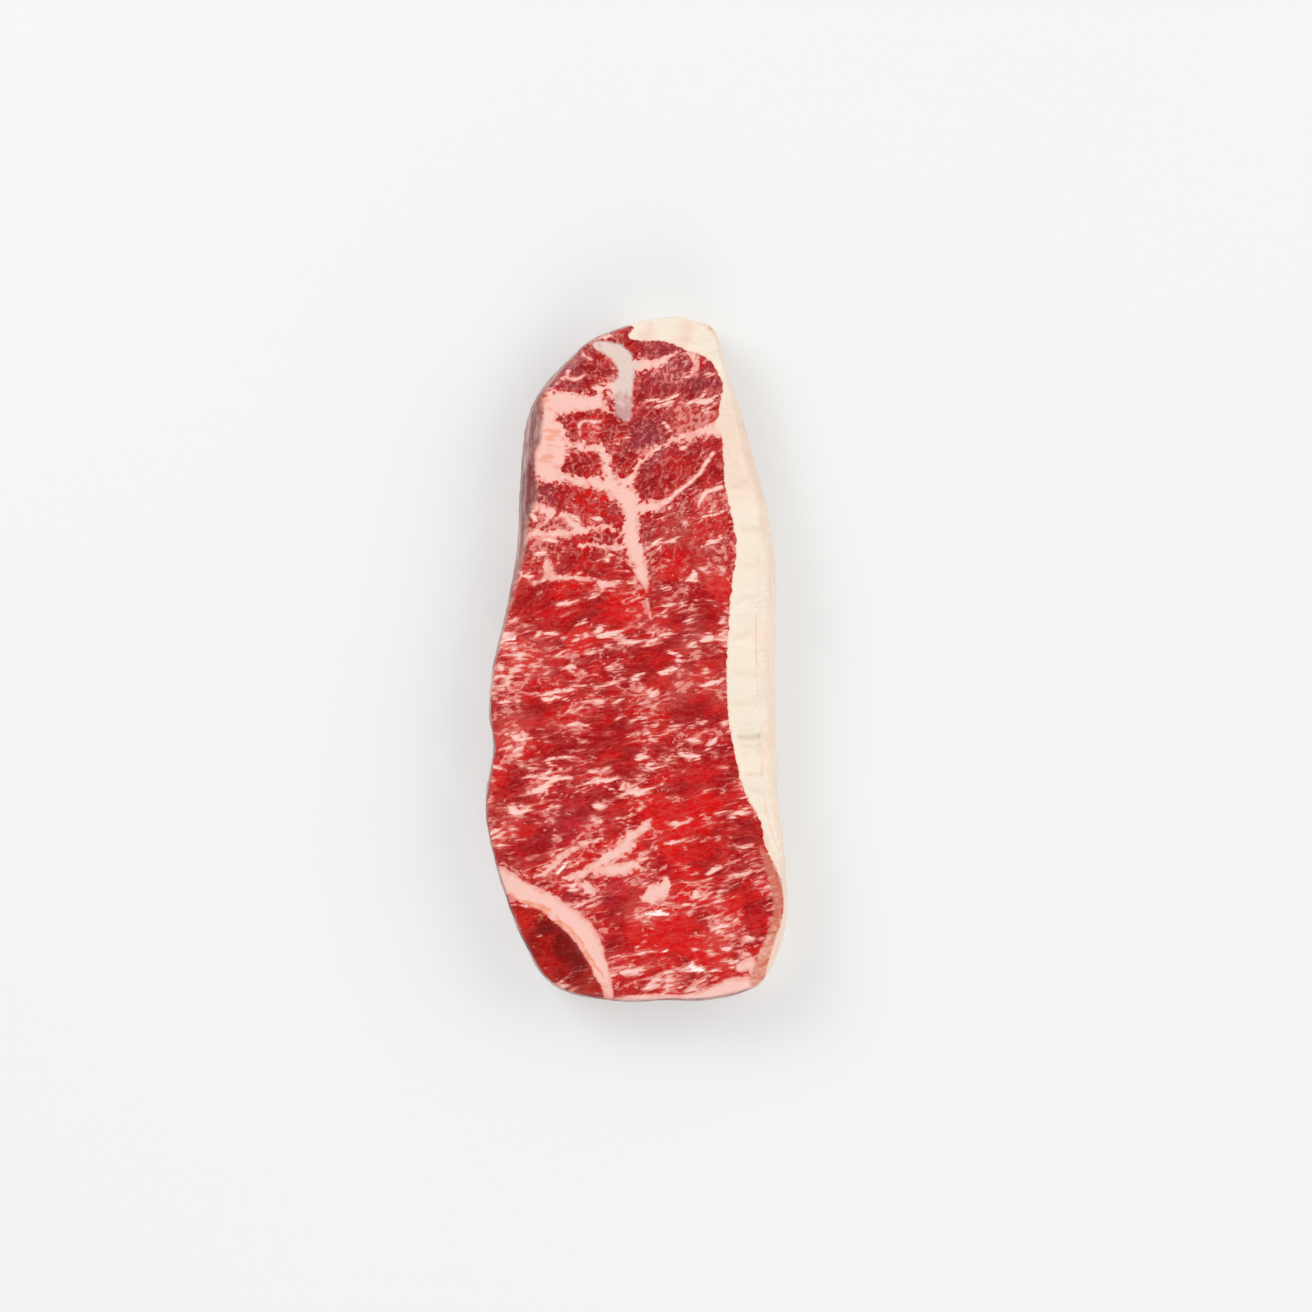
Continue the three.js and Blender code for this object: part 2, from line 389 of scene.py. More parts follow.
def in_band(band, at=flat):
    """Depth inside a band of (x, y, half width) corners."""
    depth = np.full(len(at), -99.0)
    for (x0, y0, half0), (x1, y1, half1) in zip(band, band[1:]):
        along = np.array([x1 - x0, y1 - y0])
        share = np.clip((at - (x0, y0)) @ along / (along @ along), 0, 1)
        gap = np.linalg.norm(at - (x0, y0) - np.outer(share, along), axis=1)
        depth = np.maximum(depth, half0 + (half1 - half0) * share - gap)
    return depth


def in_outline(corners, at=flat):
    """Depth inside a closed outline of (x, y) corners."""
    closed = np.vstack([corners, corners[:1]])
    inside = np.zeros(len(at), bool)
    for (x0, y0), (x1, y1) in zip(closed, closed[1:]):
        if y0 == y1:
            continue
        crossing = (at[:, 1] < y0) != (at[:, 1] < y1)
        edge_x = x0 + (at[:, 1] - y0) * (x1 - x0) / (y1 - y0)
        inside ^= crossing & (at[:, 0] < edge_x)
    gap = -in_band([(x, y, 0) for x, y in closed], at)
    return np.where(inside, gap, -gap)


def deepest(depths):
    return np.max(depths, axis=0)


band_check = in_band([(0, 0, 1.5), (9, 0, 1.5)], np.array([(4.0, 1.0)]))[0]
print("1 mm beside the middle of a band 3 mm wide, the depth is", band_check, "mm")

# %% [markdown]
# The fat cap lies beyond one long line. It starts at the head of the steak, turns the upper
# corner of the eye muscle, wanders down the right side, and ends outside the silverskin.
# The line is drawn, rounded, and closed far outside the steak.

# %% The fat cap, the silverskin and the dark end muscle
CAP_LINE = [
    (-3.7, 109), (-0.8, 105.8), (-2.6, 103.5), (-0.2, 101.8), (9.2, 101.3), (16.6, 98.4),
    (21.5, 96.8), (24.4, 94.2), (26.3, 91.1), (27.6, 86.8), (26.9, 82.6), (26, 77.5),
    (25, 73.9), (27.3, 71.9), (27.9, 61), (28.5, 54.5), (31.1, 42.7), (31.8, 36.1),
    (31.5, 30.3), (30.5, 24.8), (29.5, 11.9), (28.9, 1.3), (28.9, -10), (29.8, -21),
    (32.7, -35.6), (34.8, -42.6), (37.9, -48.2), (40, -53.2), (40.6, -57.7), (42.1, -61.6),
    (44.2, -67.1), (46.5, -72.9), (47.2, -76.8), (46.6, -81.3), (43.5, -90.8), (41.8, -96.5),
    (40.8, -101.3), (41, -112),
]
FAR_OUTSIDE = [(80, -112), (80, 130), (-3.7, 130)]
SILVERSKIN = [
    (39.7, -60.1, 0.4), (42, -65, 1.3), (44.2, -70.2, 1.7), (45.2, -75.4, 1.7),
    (45.1, -81, 1.3), (43.9, -85.9, 1.3), (42.3, -90.8, 1.5), (40.4, -95.7, 1.8),
    (39, -99.9, 2.1), (37.6, -102.7, 1.4),
]
END_MUSCLE = [
    (-43, -78.6), (-36.9, -78.5), (-31.3, -79.6), (-27.1, -82.1), (-22.9, -85.9),
    (-19.1, -90.1), (-16.3, -94.7), (-12.4, -100.6), (-10.7, -104.1), (-8.9, -114),
    (-60, -114), (-60, -78),
]
cap_depth = in_outline([*smooth_line(CAP_LINE), *FAR_OUTSIDE])
silver_depth = in_band(smooth_line(SILVERSKIN))
end_depth = in_outline(END_MUSCLE)
print("vertices in the cap:", int((cap_depth > 0).sum()))

# %% [markdown]
# Between the muscles lie seams of pink fat, which run together near the head of the steak.
# Each is a band of (x, y, half width) corners, given and then rounded.

# %% Seams of fat between the muscles
SEAMS = {
    "head block": [
        (-28.9, 82, 2.8), (-25.5, 82, 3.6), (-20.6, 82, 3.3), (-16.3, 82.2, 3.1),
        (-11.9, 83, 3.9), (-7.5, 83.2, 3.6),
    ],
    "head block arm": [(-13, 85.6, 0.9), (-10.2, 86.4, 1.1), (-6.5, 87, 1.4)],
    "left column": [
        (-28.2, 80, 2.4), (-27.6, 76, 2.8), (-27, 73.2, 3.8), (-26.1, 70.5, 4.3),
        (-26.8, 67.5, 4.8), (-27.4, 65.5, 5.1), (-29, 63, 3.9), (-28.6, 60, 3.7),
        (-24.9, 58.3, 1.8),
    ],
    "above the island": [
        (-23.6, 68.8, 1.1), (-18.6, 68.1, 0.9), (-14.6, 67.3, 1.1), (-11.4, 66.9, 1.4),
        (-9.9, 64.4, 1.3), (-9.4, 61.4, 1.4), (-8.6, 58.6, 1.9), (-7, 56, 2.5),
    ],
    "below the island": [
        (-27.5, 59.2, 1.7), (-22.4, 57.8, 1.4), (-17.4, 56.8, 1.4), (-12.4, 56, 1.7),
        (-8, 54.6, 2.3), (-4, 52.8, 3),
    ],
    "branch to the cap": [
        (-4.5, 55, 2.1), (-1.4, 58.4, 1), (-0.5, 60.9, 0.8), (1.3, 63.3, 0.7),
        (4.7, 66.1, 0.7), (10.6, 69.5, 0.6), (14.9, 70.9, 1.2), (17.1, 70.4, 0.9),
    ],
    "wedge at the cap": [
        (16.4, 71.6, 0.5), (20.5, 72.6, 1.2), (24, 73.3, 2.1), (28, 74, 3),
    ],
    "arm beside the gristle": [
        (-2.1, 94.2, 2), (1.5, 93.4, 2), (4.7, 93.6, 1.7), (7.4, 94.8, 1.1), (10.4, 96.6, 0.7),
        (12.6, 97.6, 0.4),
    ],
    "notch in the eye": [(17.8, 98.2, 1.3), (18.8, 95.1, 1.1), (18.3, 92.3, 0.7)],
    "fat at the tip": [(-15, 102.4, 1.3), (-11.4, 103.8, 1.5), (-8.4, 102.8, 0.8)],
    "left patch": [(-31.5, 48.5, 1.2), (-28.5, 47.4, 1.6), (-26.5, 46.2, 0.9)],
    "patch over the level seam": [(-23, 45.6, 0.9), (-20.3, 43.4, 1.6), (-18.5, 41.6, 1.1)],
    "branch of the main seam": [
        (0.6, 48.4, 2.4), (3.3, 48.9, 1.8), (7.2, 49, 1.4), (9.6, 50.2, 0.8),
    ],
    "thin branch": [(-19, 36.6, 0.4), (-12, 36.4, 0.7), (-4, 35.6, 0.9)],
    "main seam": [
        (-2.4, 51.6, 3.4), (-1.4, 48.8, 2.8), (-1.4, 45.6, 2.6), (-1.5, 42.1, 2.6),
        (-1.4, 38.6, 2.6), (-0.4, 35.1, 2.9), (0.8, 31.6, 2.6), (1.9, 28.1, 2),
        (2.8, 24.6, 1.2), (3.1, 21.8, 0.5),
    ],
    "main seam tail": [(3.4, 19.5, 0.3), (4.1, 16.1, 0.5), (4.6, 13, 0.3)],
    "level seam": [
        (-35, 40.4, 0.8), (-30.7, 40.2, 1), (-25.5, 40, 1.2), (-21.5, 40.1, 1.1),
        (-17.6, 41.1, 0.8), (-10.3, 42.4, 0.9), (-7.7, 41.1, 0.5), (-4.4, 40.2, 0.7),
    ],
    "patch under the level seam": [
        (-28.6, 31.6, 0.7), (-28.2, 28.9, 1.3), (-27.4, 26.8, 1.5), (-25.1, 26.2, 0.9),
        (-20.2, 26.2, 0.6), (-13, 25.6, 0.4),
    ],
    "tail seam": [
        (-48, -67.5, 3.2), (-44.6, -69.2, 3.4), (-41.1, -70.9, 3.9), (-36.9, -73.5, 3.2),
        (-28.5, -77.4, 3.2), (-24.3, -80.5, 3.5), (-20.1, -83.8, 3.8), (-16.6, -87.5, 3.9),
        (-14.2, -91.5, 3.6), (-12.4, -95.7, 2.9), (-10.9, -99.9, 2.5), (-9.3, -104.1, 1.8),
        (-7.9, -110, 1.4),
    ],
    "wide slanting streak": [
        (4.5, -51.3, 0.6), (2.2, -53.8, 1.3), (-1.3, -56.6, 1.8), (-3.4, -59.4, 2.4),
        (-5.4, -61.5, 2.2), (-8.9, -63, 1.7), (-12.4, -65.3, 1.3), (-18.7, -69.2, 1),
        (-22.9, -69.5, 0.5),
    ],
    "thin slanting streak": [
        (-29.6, -68.5, 0.5), (-27.1, -66, 1), (-25, -63.6, 1), (-22.9, -61.8, 0.8),
        (-18.7, -59.7, 0.7), (-14.5, -58, 0.6), (-10.3, -57.2, 0.3),
    ],
    "level streak": [
        (-13.1, -67.8, 1.1), (-8.2, -67.1, 2), (-3.4, -66.7, 2.1), (0.1, -65.7, 1.1),
        (2.6, -67.4, 0.5),
    ],
    "fork": [(-18.4, -70.2, 1), (-15.9, -72.7, 1.5), (-14.2, -73.8, 1), (-11.7, -73.5, 0.3)],
    "pink patch": [
        (9.6, -69.2, 0.6), (9.2, -71.6, 1.3), (7.3, -73.8, 2.8), (5, -75.2, 2.6), (2.6, -76, 1.2),
    ],
    "patch at the tail of the cap": [(33.4, -98.2, 1.7), (36.5, -96.8, 2), (37.2, -99.2, 1.3)],
    "tail rim": [
        (-10, -109.3, 1.7), (-4.7, -109.5, 1.9), (1.5, -108.8, 2), (5.7, -108.5, 2),
        (16.2, -108.6, 2), (21.8, -107.2, 2.1), (26.7, -105.4, 2.4), (31.6, -104, 2.9),
        (36.5, -103.6, 2.6), (40, -102.9, 1.4),
    ],
}
seam_depth = deepest([in_band(smooth_line(band)) for band in SEAMS.values()])
print(len(SEAMS), "seams, over", int((seam_depth > 0).sum()), "vertices")

# %% [markdown]
# Near the head a band of grey-white gristle lies in the fat, and a few thin lines of fat curl
# through the lean. Two scraps of lean sit like islands in the fat, so they are taken out of it.

# %% Gristle, thin lines and islands of lean
GRISTLE = {
    "gristle": [
        (-12.4, 100, 1.5), (-9.8, 99.4, 2.2), (-6.6, 98.1, 2.7), (-4, 95.8, 3), (-3.1, 92.6, 2.8),
        (-3.4, 89.4, 2.7), (-4.4, 86.1, 3), (-4.4, 82.9, 3.1), (-4, 80, 2.8), (-3.4, 77.7, 1.8),
    ],
    "root of its arm": [(-3.4, 94.4, 2.4), (-0.6, 94, 1.6)],
}
THIN_LINES = {
    "curl in the upper lobe": [
        (-21.5, 91.7, 0.5), (-21.9, 89.6, 0.6), (-18.6, 89.4, 0.6), (-16.2, 90.8, 0.4),
    ],
    "line in the upper lobe": [(-17.6, 99, 0.4), (-16.4, 96.7, 0.5), (-13.9, 95.2, 0.4)],
    "curl under the head block": [
        (-17.9, 71.8, 0.4), (-18.1, 74.4, 0.6), (-16.4, 76.1, 0.6), (-12.4, 75.7, 0.6),
        (-10.3, 76.6, 0.4),
    ],
    "end of the branch": [
        (7.2, 49, 1.3), (10.4, 50.9, 1), (13.8, 53.9, 0.7), (17.3, 56.5, 0.8), (20.1, 59.1, 0.7),
        (22.4, 62.8, 0.7), (24.6, 65.9, 0.5),
    ],
    "hook near the cap": [
        (19.9, 48.4, 0.5), (20.5, 50.7, 0.8), (22.2, 53.1, 0.8), (25, 54.3, 0.9), (27.4, 55, 0.6),
    ],
    "whorl": [(-9.7, 32, 0.9), (-9, 31.7, 0.8)],
    "crack in the left column": [(-27.5, 65.8, 0.4), (-24, 66.8, 0.6), (-21.2, 66.1, 0.4)],
}
LEAN_ISLANDS = [[(-17.3, 85.6, 1.3), (-14.6, 85.1, 1.5)], [(-9.6, 84.8, 1.4), (-8.4, 81.9, 1.6)]]

gristle_depth = deepest([in_band(smooth_line(band)) for band in GRISTLE.values()])
line_depth = deepest([in_band(smooth_line(band)) for band in THIN_LINES.values()])
island_depth = deepest([in_band(band) for band in LEAN_ISLANDS])
seam_depth = np.minimum(seam_depth, -island_depth)
gristle_depth = np.minimum(gristle_depth, -island_depth)
print(len(GRISTLE), "bands of gristle and", len(THIN_LINES), "thin lines")

# %% [markdown]
# The larger marbling streaks that the eye finds again are drawn too. Each is a bent, tapering
# flake between two ends with a side branch, and noise pushes them all out of shape a little.

# %% The larger streaks of marbling
FLAKE_CORNERS = 7
SPUR_ROOT = 0.35
SPUR_LENGTH = 0.4
STREAK_WANDER = (1.6, 1.1)

# Each row is x and y of one end, x and y of the other, the full width and the bend upwards.
STREAKS = [
    (2.6, 82.2, 14, 84, 1.1, -0.4), (1.9, 80.3, 15.2, 82, 1.1, 0.4),
    (14.5, 80.4, 27.6, 84.6, 2.2, 0.2), (7.2, 76.3, 12.1, 72.6, 1.5, 0.6),
    (4.6, 44.6, 16.6, 47.4, 0.9, 0.2), (18.4, 43.6, 30.4, 48.4, 1.6, 0.4),
    (17.7, 78.5, 26, 82.2, 0.9, 0), (13.1, 67.1, 16.1, 68.6, 1.7, 0),
    (14, 89.9, 20.2, 91.4, 0.9, 0),
    (-33.7, 47.3, -30.7, 43.4, 2, 0), (-22.2, 46.7, -17.2, 42.7, 2, 0.5),
    (-15.3, 45, -11, 44.2, 1.6, 0), (-30.7, 38.1, -23.8, 37.1, 1.2, 0.3),
    (-32.1, 34, -28.4, 33.6, 2.1, 0), (-38.3, 26.6, -32.4, 26.6, 1.8, 0),
    (-14.9, 22.3, -4.4, 24.4, 0.9, 0.3), (15.3, 24.6, 21.3, 25, 1.7, 0.4),
    (17.7, 28.6, 17.7, 25.6, 2, 0), (7.4, 22.9, 11.4, 22.6, 1.7, 0),
    (1.9, 35.6, 15.3, 38.5, 1, 0.3), (19.6, 35.4, 28.8, 39.2, 1.1, 0.2),
    (6.1, 13.1, 10.7, 16.3, 1.4, 0), (-26.5, 16.5, -18.2, 18.2, 1.6, 0.2),
    (-13.9, 7.8, -9.3, 11, 2, 0), (-13.9, 7.1, -2.1, 9.9, 1.6, -0.2),
    (-19.9, 10.6, -14.3, 12.1, 1.2, 0.1), (-8, 6.4, -3.7, 6.7, 1.3, 0),
    (7.1, 7.3, 13, 8.2, 1.2, 0.1), (15.3, 12.2, 20, 13.1, 1.2, 0.1),
    (20.6, 5.5, 25.9, 7.3, 2.8, 0), (-31.1, 8.6, -23.5, 8.4, 2.1, -0.3),
    (-20.5, 6, -16.9, 6.4, 1.2, 0), (-44.6, 5.1, -38, 4.9, 1.4, 0.2),
    (-39, -0.4, -34.7, 0.5, 1.4, 0), (-45.2, -2.4, -42.3, -2.7, 2, 0),
    (-16.6, 1.8, -10.7, 2.2, 1.1, 0.2), (10.4, 2.4, 15.3, 0.7, 1.2, -0.3),
    (-34.4, -3, -26.8, -1.9, 1.2, 0.3), (-22.2, -2.6, -18.9, -5.3, 1.6, 0),
    (-33.4, -11.8, -16.3, -8.1, 2, 0.1), (-30.7, -11.9, -26.1, -11.8, 1.7, -0.5),
    (-45.7, -13.6, -38.3, -13.2, 1.7, 0.1), (-2.4, -7.4, 2.8, -4.1, 1.7, 0),
    (7.1, -3.4, 14.4, -3, 1.6, -0.5), (20.6, -8.3, 28.8, -6.6, 2.9, 0.1),
    (-8, -13.8, -4.7, -13.1, 1.4, 0), (-43.6, -23.6, -33.1, -25.3, 2.4, 0.3),
    (-23.8, -21.3, -14.2, -21.5, 1.4, 1.1), (-3.5, -23.9, 5.4, -22.3, 1.2, -0.9),
    (4.9, -25, 16.2, -21.3, 1, 0.1), (16.2, -21.3, 22.5, -20.2, 1.5, 0.3),
    (-34.5, -33.4, -18.4, -31.1, 1, 0), (-36.9, -37.7, -19.8, -38.3, 2, 0.4),
    (-23.6, -37.7, -34.8, -43.4, 2.6, 0), (-18.7, -40.5, -1.6, -38.1, 1.3, 1),
    (0, -34.2, 8.9, -34.2, 1, -0.6), (-0.8, -30.7, 4.7, -31.1, 1.4, 0),
    (14.5, -29.7, 20.4, -32, 2.1, 0), (21.5, -29.2, 26.7, -23.7, 1.5, -0.6),
    (-5.8, -43.4, 4.7, -41.9, 2.4, 0.1), (-14, -46.9, -8.6, -47.5, 1.7, 0),
    (-41.5, -46.4, -35.9, -49, 2.4, 0), (-39.7, -48.9, -30.3, -48.5, 1.8, 0),
    (-8.4, -51.8, -0.2, -49.9, 1, 0), (29.4, -50.4, 36.9, -47.4, 1.1, 0),
    (-44.8, -59.5, -35.2, -58, 0.8, 0), (9.1, -58.1, 19.9, -57.2, 1, -0.3),
    (22.2, -68.8, 27.8, -65.8, 2, 0), (2.2, -81.7, 12, -82.3, 2.1, 1),
    (16.6, -75.6, 21.1, -74, 1.8, 0), (24.3, -86.5, 30.2, -84.7, 2, 0),
    (26, -92.2, 30.6, -92.2, 1.8, 0), (26.6, -96.1, 33, -95.7, 0.9, 0),
    (-7, -94.9, 9.6, -92.6, 1, 0.1), (-4.7, -100.3, 2.9, -98.7, 3.2, 0),
    (2.1, -103.6, 12.7, -99.2, 1.3, 0), (12, -99.4, 24.3, -98.9, 1.7, 0.7),
    (-28, -102.6, -19.8, -104.3, 2, 0),
]


def flake(x0, y0, x1, y1, width, bend):
    """A band that tapers to both ends and bows upwards in the middle."""
    share = np.linspace(0, 1, FLAKE_CORNERS)
    bow = 4 * share * (1 - share)
    x = x0 + (x1 - x0) * share
    y = y0 + (y1 - y0) * share + bend * bow
    return np.column_stack([x, y, width / 2 * bow])


def spur(x0, y0, x1, y1, width, bend, side):
    """A short side branch, which leaves a streak at a third of its length."""
    along = np.array([x1 - x0, y1 - y0])
    across = np.array([-along[1], along[0]]) * side
    root = np.array([x0, y0]) + along * SPUR_ROOT + (0, bend * 0.9)
    tip = root + (along * 0.8 + across * 0.6) * SPUR_LENGTH
    return [(*root, width * 0.36), (*((root * 2 + tip) / 3), width * 0.26), (*tip, 0.1)]


wander = np.column_stack([lumps(place, (6, 3, 9), 11), lumps(place, (5, 2.6, 9), 12)])
bent_flat = flat + wander * STREAK_WANDER
streak_depth = deepest([in_band(flake(*row), bent_flat) for row in STREAKS])
spurs = [spur(*row, 1 if number % 3 else -1) for number, row in enumerate(STREAKS)]
spur_depth = deepest([in_band(branch, bent_flat) for branch in spurs])
streak_depth = np.maximum(streak_depth, spur_depth)
print(len(STREAKS), "drawn streaks, each with a spur")

# %% [markdown]
# The fine marbling needs to know which way the muscle runs. Near the head the streaks climb
# steeply on the side of the cap and lie level on the other, and further down they climb gently.
# Leaning coordinates store this: the first runs along the streaks and the second across them.

# %% Coordinates that follow the muscle
HEAD_SHORTENING = 0.5  # the streaks of the head are shorter and rounder
SLOPE_HEAD = 0.36
SLOPE_LEFT = 0.03
SLOPE_MIDDLE = 0.16
SLOPE_TAIL = 0.22
head_share = step(place[:, 1], 10, 50)
tail_share = step(-place[:, 1], 45, 85)
cap_tail = step(-place[:, 1], 56, 78)
right_share = step(flat[:, 0], -12, 6)
slope = SLOPE_MIDDLE + (SLOPE_TAIL - SLOPE_MIDDLE) * tail_share
slope += head_share * (SLOPE_LEFT + (SLOPE_HEAD - SLOPE_LEFT) * right_share - SLOPE_MIDDLE)
along = flat[:, 0] * (1 + HEAD_SHORTENING * head_share)
grain = np.column_stack([along, flat[:, 1] - slope * flat[:, 0], place[:, 2]])

# The steep sides are skin and outer fat, and not cut lean.
side_share = 1 - step(np.abs(facing[:, 2]), 0.3, 0.75)
print("the streaks slope from", round(slope.min(), 2), "to", round(slope.max(), 2))

# %% [markdown]
# Near the head the cut face ends a few millimetres inside the outline, and the dark skin of the
# lean side rolls up to it. The line where it ends is drawn like the line of the cap, and so is
# the crest of the cap, where its top turns down into its outer face.

# %% The rolled skin edge and the crest of the cap
SKIN_LINE = [
    (-12, 112), (-17.5, 103.5), (-23.8, 98), (-27.4, 92.8), (-29.2, 87.4), (-29.8, 83.5),
    (-30.1, 77.1), (-30.6, 70), (-32.4, 66), (-32.6, 60), (-31.6, 51.3), (-33.4, 48.1),
    (-34.4, 44.8), (-35.2, 38.4), (-36.2, 31.9), (-38.1, 25.5), (-39.9, 19), (-42, 12.6),
    (-44.6, 4.5), (-47, -4), (-60, -10), (-60, 112),
]
CREST_LINE = [
    (10, 118), (18, 108), (25.6, 101.3), (29.2, 88.4), (31.8, 77.1), (33.7, 67.4), (35, 61),
    (37.3, 51.3), (38.9, 38.4), (38.9, 28.7), (38.2, 6.1), (38.9, -13.2), (39.8, -26.1),
    (40.5, -42.3), (43, -55.2), (48, -64), (60, -70), (80, -70), (80, 118),
]

skin_depth = in_outline(SKIN_LINE, place[:, :2])
outer_side = side_share * step(cap_depth, 0, 2)
rolled = step(skin_depth, -1.2, 0.6) * step(place[:, 2], 8, 12)
lean_side = np.maximum(side_share * step(-cap_depth, -1, 2), rolled * step(-cap_depth, 0, 2))
crest_depth = -in_outline([*smooth_line(CREST_LINE[:-3]), *CREST_LINE[-3:]])
print("vertices under the skin of the lean side:", int((lean_side > 0.5).sum()))

# %% [markdown]
# The lean also has regions of its own: bright where air has reached it, purple where it hasn't,
# hazy where a film of fat lies on it, calm where it holds hardly any marbling, rich where it
# holds much, brown-red in the end muscle, and painted with white highlights where the wet
# marbling glistens. The fat has a few orange stains. Each region is a set of soft round spots.

# %% Regions of the lean
BRIGHT_SPOTS = [
    (-3.7, 17, 8), (-20, 24, 8), (6, -50, 10), (-2, -61, 8), (13, -58, 9), (4, -80, 6),
    (-37, -84, 5), (12, 30, 7), (-14, 73, 5), (20, -48, 9), (-18, 6, 6), (8, -88, 14),
    (24, -92, 10), (16, -74, 9), (-36, 2, 8), (23, 44, 8), (25, 26, 6), (-16, 51, 8),
    (29, -82, 8),
]
PURPLE_SPOTS = [
    (11, 92, 10), (22, 88, 8), (6, 99, 7), (-25, 92, 9), (4, 70, 8), (16, 9, 6), (-29, 52, 4),
    (-24, -52, 9), (-8, -74, 5),
]
CALM_SPOTS = [
    (-15, 94, 8), (5, 74, 8), (-8, 77, 6), (-21, 76, 6), (-18, 62.5, 6), (-3, 63, 5),
    (11, 63, 9), (5, 55, 6), (21, 59, 6), (-26, 52, 6), (-15, 50, 7), (-7, 46, 4), (5, 88, 6),
    (17, 93, 6), (22, 85, 5), (10, 44, 6), (24, 42, 6), (-17, 34, 7),
    (-25, 17, 8), (-35, 18, 6), (-10, 15, 8), (16, 34, 6), (24, 20, 7), (4, -2, 6),
    (20, -17, 8), (-6, -27, 9), (20, -40, 11), (31, -53, 8), (13, -60, 9), (-20, -47, 7),
    (-40, -40, 6), (-6, -76, 7), (35, -79, 8), (14, -89, 10), (-28, -94, 12), (-32, -58, 7),
    (7, -49, 7), (22, -63, 9), (-7, -51, 5), (28, -94, 5), (-2, -88, 6), (-31, -19, 8),
    (-26, -29, 7), (7, 99, 6),
]
RICH_SPOTS = [(-37, -1, 9), (24, 4, 5), (-30, 43, 7), (29, -84, 9)]
DARK_SPOTS = [(-21, -91.5, 6.5), (-18, -98, 4), (-29, -85, 4)]
# Painted highlights: spots where the marbling is painted near-white in place of wet glints.
PAINTED_GLINT_SPOTS = [
    (6, -81.5, 5), (9, -93, 4), (20, -97, 5), (17, -92, 3), (24, -101, 3), (-11.6, 67.5, 2),
    (-24, -67, 3), (-38, 5, 4),
]
STAINED_SPOTS = [
    (-27, 70.5, 3.2), (-28, 64.5, 3), (-29, 83, 2.4), (-40.5, -76, 2.6), (24.5, 105.5, 2.6),
    (38, -104, 3), (-24.5, -84.5, 1.6), (34, -36.5, 0.6), (35.2, -36.7, 0.6), (36.4, -36.8, 0.6),
]
HAZY_SPOTS = [
    (-34, 0, 11), (27, -10, 7), (-39, -22, 8), (18, 6, 8), (-25, 99, 5), (20, 74, 6),
    (14, 76, 7), (-32, 38, 6), (2, -78, 8), (-12, -95, 5), (28, -88, 8),
    (-41, -52, 6), (-22, 44, 7), (12, 90, 5), (24, 50, 8), (24, 30, 8),
    (14, -8, 9), (14, 42, 8), (-14, -103, 4),
]
# Near the slanting streaks the seams are as torn as they are near the head.
TORN_SPOTS = [(-3, -61, 12), (-22, -65, 9), (7, -73, 8), (-15, -72, 6)]


def near_spots(spots):
    """How near each vertex is to the closest of some soft spots of (x, y, radius)."""
    shares = [np.exp(-(((flat - (x, y)) ** 2).sum(axis=1)) / radius**2) for x, y, radius in spots]
    return np.max(shares, axis=0)


torn_share = np.maximum(head_share, near_spots(TORN_SPOTS))
stained_near = near_spots(STAINED_SPOTS) * step(place[:, 2], top_height - 9, top_height - 3)
REGIONS = {
    "bright_near": BRIGHT_SPOTS,
    "purple_near": PURPLE_SPOTS,
    "hazy_near": HAZY_SPOTS,
    "calm_near": CALM_SPOTS,
    "rich_near": RICH_SPOTS,
    "dark_near": DARK_SPOTS,
    "painted_glint_near": PAINTED_GLINT_SPOTS,
}
print(sum(map(len, REGIONS.values())), "soft spots in", len(REGIONS), "kinds of lean")

# %% [markdown]
# The finish can't see these lists, so every depth and every share is kept on the vertices,
# where the finish reads it by name.

# %% Keep the values at each vertex
def keep(name, values):
    """Stores one number, or one vector, for each vertex."""
    kind = "FLOAT" if values.ndim == 1 else "FLOAT_VECTOR"
    field = "value" if values.ndim == 1 else "vector"
    made = steak.data.attributes.new(name, kind, "POINT")
    made.data.foreach_set(field, values.astype(np.float32).ravel())


KEPT = {
    "cap_depth": cap_depth,
    "silver_depth": silver_depth,
    "end_depth": end_depth,
    "seam_depth": seam_depth,
    "gristle_depth": gristle_depth,
    "line_depth": line_depth,
    "streak_depth": streak_depth,
    "crest_depth": crest_depth,
    "head_share": head_share,
    "torn_share": torn_share,
    "lean_side": lean_side,
    "outer_side": outer_side,
    "cap_tail": cap_tail,
    "stained_near": stained_near,
    "grain": grain,
    **{name: near_spots(spots) for name, spots in REGIONS.items()},
}
for name, values in KEPT.items():
    keep(name, values)
print(len(KEPT), "kinds of values kept at each vertex")

# %% [markdown]
# Relief comes next, by moving vertices along their normals. Lean swells in small grains, fat
# seams stay smooth, the cap has cross creases and a rib round its head, and the skin on the
# steep sides is drawn into folds. Nothing moves by more than a millimetre and a half.

# %% Fine relief on the surface
# Each crease is where it lies along the steak, how deep it is, and half its width.
CREASES = [
    (-24.8, 0.9, 0.8), (-27.6, 0.5, 0.8), (-36.8, 0.5, 0.7), (-49, 0.3, 1), (-43, 0.3, 1),
    (-14, 0.35, 1), (-5, 0.3, 1.1), (8, 0.35, 1.2), (19, 0.3, 1), (30, 0.3, 1.1), (41, 0.4, 1.3),
    (56, 0.4, 1.2),
]
CREASE_LEAN = 0.08
CAP_MIDDLE = 36
RIDGE_HEIGHT = 0.45
RIDGE = [
    (11.5, 109, 0), (17.9, 106.8, 0), (21.8, 104.2, 0), (24, 101.9, 0), (25.6, 99, 0), (28, 92, 0),
    (31, 80, 0),
]
lean_share = step(-np.maximum(cap_depth, np.maximum(seam_depth, gristle_depth)), -0.3, 0.8)
cut_share = 1 - side_share
cap_top = step(cap_depth, 0.5, 2.5) * cut_share

